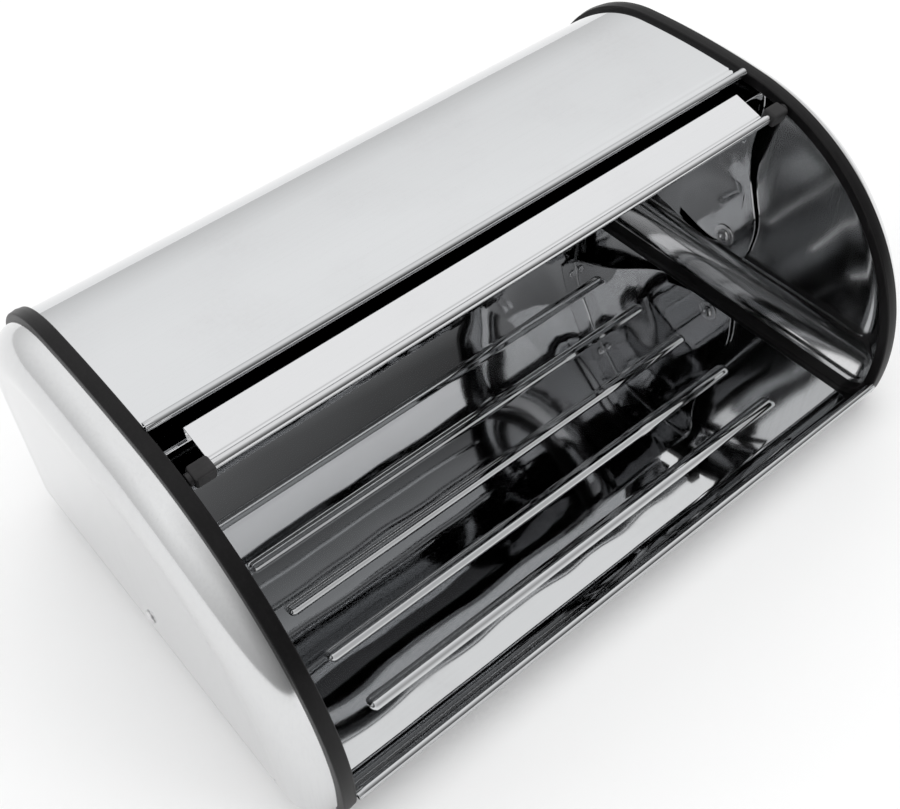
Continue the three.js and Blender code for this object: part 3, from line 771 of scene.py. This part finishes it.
# %% Side plate outline
def side_edge():
    """The plate's edge as (forward, up) from the pivot: front edge, rounded hub, lower edge, rear top."""
    shoulder = lid_radius - SHOULDER_DROP
    knots = np.array([[0.0118, rim_radius], [0.0116, shoulder], [0.0087, (shoulder + FLARE_HEIGHT) / 2],
                      [0.0136, FLARE_HEIGHT], ROOT])
    up_values = np.linspace(knots[0, 1], knots[-1, 1], 60)
    order = np.argsort(knots[:, 1])
    smooth = np.polyfit(knots[order, 1], knots[order, 0], 4)
    front = np.column_stack([np.polyval(smooth, up_values), up_values])
    root_turn, round_turn = math.atan2(ROOT[1], ROOT[0]), -math.radians(5)
    hub_turn = np.linspace(root_turn, -math.radians(34), 30)
    past_round = np.clip((hub_turn - round_turn) / (root_turn - round_turn), 0, 1)
    hub_r = HUB_RADIUS + (math.hypot(*ROOT) - HUB_RADIUS) * past_round ** 2
    hub = np.column_stack([hub_r * np.cos(hub_turn), hub_r * np.sin(hub_turn)])
    rear_angle = lid_rear + REAR_MARGIN
    rear_top = np.array([rim_radius * math.sin(rear_angle), rim_radius * math.cos(rear_angle)])
    lower = np.vstack([line(hub[-1], HUB_CORNER, 14), line(HUB_CORNER, rear_top, 40)])
    rim_turn = np.linspace(rear_angle, math.asin(front[0, 0] / rim_radius), 100)
    top = np.column_stack([rim_radius * np.sin(rim_turn), rim_radius * np.cos(rim_turn)])
    return np.vstack([front[1:], hub[1:], lower, top])


edge = side_edge()
edge_r = np.hypot(edge[:, 0], edge[:, 1])
on_rim = edge_r > rim_radius - 1e-6
bend_length = SIDE_BEND * (math.pi / 2 - 1)
reach = np.where(on_rim, rim_radius - PIN_CLEARANCE + bend_length + FLANGE, edge_r - PIN_CLEARANCE)
outwards = np.linspace(0, 1, 90)[:, None]
along = outwards * reach[None, :]
section_r, section_x = side_section(along)
edge_turn = np.unwrap(np.arctan2(edge[:, 1], edge[:, 0]))
even_turn = edge_turn[0] + np.sign(edge_turn[-1] - edge_turn[0]) * np.linspace(
    0, 2 * math.pi, len(edge), endpoint=False,
)
spread = (1 - outwards) ** 3
ray_turn = edge_turn[None, :] + (even_turn - edge_turn)[None, :] * spread
turn_y, turn_z = np.cos(ray_turn), np.sin(ray_turn)
print("side plate: rays turn one way", bool(np.all(np.diff(edge_turn) < 0)))


RIBS = (((-0.012, 0.094), (-0.004, 0.080)), ((-0.003, 0.095), (0.003, 0.082)))
RIB_REACH = 0.003
RIB_HEIGHT = 0.0011


def rib_height(y, z):
    """Two short pressed ribs: H * (1 - (d / reach)^2)^2, d being the distance to the rib's line."""
    total = np.zeros_like(y)
    for a, b in RIBS:
        a, b = np.array(a), np.array(b)
        share = np.clip(((y - a[0]) * (b - a)[0] + (z - a[1]) * (b - a)[1]) / ((b - a) @ (b - a)), 0, 1)
        d = np.hypot(y - a[0] - share * (b - a)[0], z - a[1] - share * (b - a)[1]) / RIB_REACH
        total += RIB_HEIGHT * np.clip(1 - d * d, 0, None) ** 2
    return total


def plate(offset):
    """One face of the plate, offset from its middle along the section's own normal."""
    step = 1e-5
    r1, x1 = side_section(along - step)
    r2, x2 = side_section(along + step)
    size = np.hypot(r2 - r1, x2 - x1)
    r = section_r + offset * (x1 - x2) / size
    x = section_x + offset * (r2 - r1) / size
    y, z = turn_y * r, turn_z * r
    return np.stack([x - rib_height(y, z), pivot[0] - y, pivot[1] + z], 2)


outer_face, inner_face = plate(ARM_SHEET / 2), plate(-ARM_SHEET / 2)
hole, border = [np.stack([outer_face[k], inner_face[k]]) for k in (0, -1)]
# Both faces of the side plates count as inner sides, so their colour gets the painted shade and the higher
# waves.
plate_grids = [(g, False, True, 1.0) for g in (outer_face, inner_face, hole, border)]
for word, side in SIDES.items():
    make_piece(
        f"lid_side_plate_{word}", both_sides(plate_grids, side), side_metal, "lid",
        [f"lid_side_{word}"], crisp=45,
    )

# %% [markdown]
# ## Turned pieces
# Rivets, washers and feet are round, so each is a short profile spun about its axis. The profile lists
# radius and height, with rounded corners, and starts and ends on the axis where the piece is solid.


# %% Spin a profile
def spin(profile, centre, axis, count=48, closed=False):
    """Points centre + axis * h + radius * (a cos t + b sin t), a and b being square to the axis."""
    profile = np.asarray(profile, float)
    axis = unit(np.asarray(axis, float))
    helper = np.array([0.0, 0.0, 1.0]) if abs(axis[2]) < 0.9 else np.array([0.0, 1.0, 0.0])
    a = unit(np.cross(helper, axis))
    b = np.cross(axis, a)
    t = np.linspace(0, 2 * math.pi, count, endpoint=False)
    ring = a * np.cos(t)[:, None] + b * np.sin(t)[:, None]
    points = np.asarray(centre) + profile[:, 1, None, None] * axis + profile[:, 0, None, None] * ring
    return (points, closed, True)


def dome(radius, height, flat, count=12):
    """A shallow head: from the axis out to the edge, height * sqrt(1 - (r / radius)^2) above flat."""
    t = np.linspace(0, math.pi / 2, count)
    return np.column_stack([radius * np.sin(t), flat + height * np.cos(t)])


def ring_profile(inner, outer, low, high, bevel):
    """A washer's section with bevelled corners, going round once."""
    return [
        (inner, low + bevel), (inner + bevel, low), (outer - bevel, low), (outer, low + bevel),
        (outer, high - bevel), (outer - bevel, high), (inner + bevel, high), (inner, high - bevel),
    ]


# %% Pivot rivets, spacers and washers
PIN_RADIUS = 0.0025
PIN_HEAD = 0.0042
head_height = 0.0016
inner_seat = pin_low.x + head_height
outer_seat = pin_high.x - head_height
inner_head = dome(PIN_HEAD, head_height, 0)
inner_head[:, 1] = inner_seat - inner_head[:, 1]
inner_head[:3, 1] += 0.0005
outer_head = dome(PIN_HEAD, head_height, outer_seat)[::-1]
pin = np.vstack([
    inner_head, [(PIN_RADIUS, inner_seat), (PIN_RADIUS, outer_seat)], outer_head,
])
centre = (0, pivot[0], pivot[1])
for word, side in SIDES.items():
    make_piece(
        f"pivot_pin_{word}", both_sides([spin(pin, centre, (1, 0, 0))], side), rivet_metal, "root",
        [f"pivot_rivet_{word}"], crisp=35,
    )
    for kind, node, material, slot_name in (
        ("pivot_slip_ring", "pivot_spacer", nylon, "nylon"),
        ("pivot_flat_ring", "pivot_washer", rivet_metal, "rivet_steel"),
    ):
        low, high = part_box(f"{node}_right")
        section = ring_profile(PIN_CLEARANCE, (high.y - low.y) / 2, low.x, high.x, 0.00015)
        make_piece(
            f"{kind}_{word}", both_sides([spin(section, centre, (1, 0, 0), closed=True)], side),
            material, "root", [f"{node}_{word}"], crisp=30,
        )

# %% Lid rivets
for number in (1, 2, 3):
    low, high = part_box(f"lid_rivet_{number}_right")
    middle = np.array((low + high) / 2)
    outward = np.array([0, middle[1] - pivot[0], middle[2] - pivot[1]])
    centre_radius = np.linalg.norm(outward)
    top = dome(0.0032, 0.0010, 0.0003)
    bottom = dome(0.0032, 0.0010, 0.0)
    under = -(SHEET + GAP + ARM_SHEET + GAP)
    bottom[:, 1] = under - bottom[:, 1]
    profile = np.vstack([bottom, [(0.0016, under), (0.0016, 0.0003)], top[::-1]])
    seat = np.array([middle[0], *(pivot + outward[1:] / centre_radius * lid_radius)])
    for word, side in SIDES.items():
        make_piece(
            f"lid_side_rivet_{number}_{word}", both_sides([spin(profile, seat, outward, 28)], side),
            rivet_metal, "lid", [f"lid_rivet_{number}_{word}"], crisp=35,
        )

# %% Feet
FOOT_ROUND = 0.0008
GROOVE_STARTS = (0.30, 0.62)
GROOVE_DEPTH = 0.0005
for name in ("foot_front_left", "foot_front_right", "foot_rear_left", "foot_rear_right"):
    low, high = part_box(name)
    radius = (high.x - low.x) / 2
    bottom, top = low.z, high.z
    turn = np.linspace(0, math.pi / 2, 7)
    edge_round = np.column_stack([
        radius - FOOT_ROUND + FOOT_ROUND * np.sin(turn), bottom + FOOT_ROUND - FOOT_ROUND * np.cos(turn),
    ])
    grooves = [
        (radius * (start + step), bottom + depth) for start in GROOVE_STARTS
        for step, depth in ((0, 0), (0.04, GROOVE_DEPTH), (0.10, GROOVE_DEPTH), (0.14, 0))
    ]
    profile = np.vstack([[(0, bottom)], grooves, edge_round, [(radius * 0.97, top), (0, top)]])
    middle = ((low.x + high.x) / 2, (low.y + high.y) / 2, 0)
    make_piece(
        f"{name}_pad", [spin(profile, middle, (0, 0, 1), 40)], rubber, "root",
        [name], crisp=35,
    )

# %% [markdown]
# ## Bumpers
# A soft block is pushed on each end of the lid's rolled edge. When the lid shuts, the two blocks land on the
# front lip. The block's section is a rounded rectangle that shrinks towards its ends and then becomes the
# round stub that points at the trim, so it is one surface from end to end.


# %% Bumper
def bumper_grid(low, high):
    """Rings along X: radius by angle is a superellipse whose power falls from 6 to 2 on the stub."""
    t = np.linspace(0, 2 * math.pi, 56, endpoint=False)
    stub = 0.002
    block_end = high.x - stub
    steps = np.linspace(0, math.pi / 2, 7)
    rounding = 0.0016
    x = [low.x, *(low.x + rounding * (1 - np.cos(steps))), *(block_end - rounding * (1 - np.sin(steps)))]
    inset = [1, *(rounding * (1 - np.sin(steps))), *(rounding * (1 - np.cos(steps)))]
    rings = []
    along_axis, across_axis = forward, up
    for xi, cut in zip(x, inset):
        a, b = (0.0045 - cut, 0.0040 - cut) if cut < 1 else (0, 0)
        c, s = np.cos(t), np.sin(t)
        p = np.sign(c)[:, None] * np.abs(c)[:, None] ** (1 / 3) * a * along_axis
        p = p + np.sign(s)[:, None] * np.abs(s)[:, None] ** (1 / 3) * b * across_axis
        rings.append(np.column_stack([np.full(len(t), xi), roll_centre + p]))
    for xi, r in ((block_end, 0.0033), (block_end + 0.0003, 0.0032), (high.x - 0.0004, 0.0032),
                  (high.x, 0.0028), (high.x, 0)):
        p = r * (np.cos(t)[:, None] * along_axis + np.sin(t)[:, None] * across_axis)
        rings.append(np.column_stack([np.full(len(t), xi), roll_centre + p]))
    return (np.stack(rings), False, True)


low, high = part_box("lid_bumper_right")
for word, side in SIDES.items():
    make_piece(
        f"lid_buffer_{word}", both_sides([bumper_grid(low, high)], side), bumper_black, "lid",
        [f"lid_bumper_{word}"], crisp=45,
    )

# %% [markdown]
# ## Floor, light and camera
# Polished metal shows the room more than itself, so the room matters most. A pale floor and a bright ceiling
# give the light greys of the outside. The room is darker in front of the opening, above all on the right,
# and that gives the depth inside the box. The backdrop that the camera sees directly stays pale, and the
# lamps light the plastic and the floor without showing up in the mirrors.

# %% Floor
floor_mesh = bpy.data.meshes.new("floor")
FLOOR_HALF = 4.0
floor_corners = [(x * FLOOR_HALF, y * FLOOR_HALF) for x, y in ((-1, -1), (1, -1), (1, 1), (-1, 1))]
floor_mesh.from_pydata([(x, y, cad_low.z) for x, y in floor_corners], [], [(0, 1, 2, 3)])
floor = bpy.data.objects.new("floor", floor_mesh)
bpy.context.scene.collection.objects.link(floor)
floor_paper = finish(
    "pale paper", (0.93, 0.93, 0.93), (0.90, 0.90, 0.90), 0.85, 0.95,
    dict(Wave_Scale=2.0, Wave_Height=1e-4, Grain_Scale=300.0, Grain_Height=1e-6),
    dict(**LONG_X, Amount=0.05), dict(Scale=2.0, Amount=0.2),
)
floor_mesh.materials.append(floor_paper)
floor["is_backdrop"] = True

# %% World
FRONT_LEFT = 0.55
FRONT_RIGHT = 0.10
LOW_WALL = 0.72
CEILING = 1.08
BACKDROP = 0.97
world = bpy.data.worlds.new("studio")
bpy.context.scene.world = world
world.use_nodes = True
sky = world.node_tree
background = sky.nodes["Background"]
direction = sky.nodes.new("ShaderNodeTexCoord").outputs["Generated"]
across, depth, height = place(sky, "ShaderNodeSeparateXYZ", None, Vector=direction).outputs
front = remap(sky, depth, -0.85, 0.05, FRONT_LEFT, 1.0)
sky.links.new(remap(sky, across, -0.6, 0.5, FRONT_LEFT, FRONT_RIGHT), front.node.inputs["To Min"])
shade = calculate(sky, "MULTIPLY", remap(sky, height, 0.0, 0.70, LOW_WALL, CEILING), front)
seen = sky.nodes.new("ShaderNodeLightPath").outputs["Is Camera Ray"]
strength = place(sky, "ShaderNodeMix", {"data_type": "FLOAT"})
sky.links.new(seen, strength.inputs[0])
sky.links.new(shade, strength.inputs[2])
strength.inputs[3].default_value = BACKDROP
sky.links.new(strength.outputs[0], background.inputs["Strength"])
background.inputs["Color"].default_value = (1, 1, 1, 1)

# %% Lamps
def add_lamp(name, kind, energy):
    """A lamp that mirrors don't show."""
    lamp = bpy.data.lights.new(name, kind)
    lamp.energy = energy
    holder = bpy.data.objects.new(name, lamp)
    holder.visible_glossy = False
    bpy.context.scene.collection.objects.link(holder)
    return lamp, holder


strip, strip_holder = add_lamp("front strip", "AREA", 2.5)
strip.size = 0.5
strip_holder.location = (0.60, -1.30, 1.00)
aim = Vector((0.0, 0.0, 0.05)) - strip_holder.location
strip_holder.rotation_euler = aim.to_track_quat("-Z", "Y").to_euler()
fill, _ = add_lamp("soft fill", "SUN", 0.85)
fill.angle = math.radians(150)
print("lamps", strip.name, fill.name)

# %% Camera
LENS = 47.7
SHIFT_X, SHIFT_Y = 0.0462, 0.0061
eye = Vector((-0.29767, front_y - 0.1970, base_z + 0.55839))
look = Vector((0.3875, 0.5171, -0.7632)).normalized()
right = Vector((0.7723, -0.6342, -0.0375))
right = (right - look * right.dot(look)).normalized()
upward = right.cross(look)
camera_data = bpy.data.cameras.new("camera")
camera_data.lens, camera_data.sensor_width = LENS, 36.0
camera_data.shift_x, camera_data.shift_y = SHIFT_X, SHIFT_Y
camera_data.clip_start, camera_data.clip_end = 0.01, 50.0
camera = bpy.data.objects.new("camera", camera_data)
turned = Matrix((right, upward, -look)).transposed().to_4x4()
camera.matrix_world = Matrix.Translation(eye) @ turned
bpy.context.scene.collection.objects.link(camera)
bpy.context.scene.camera = camera
bpy.context.scene.view_settings.view_transform = "Standard"

low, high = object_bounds()
print("visual box", [round(v, 4) for v in (*low, *high)])
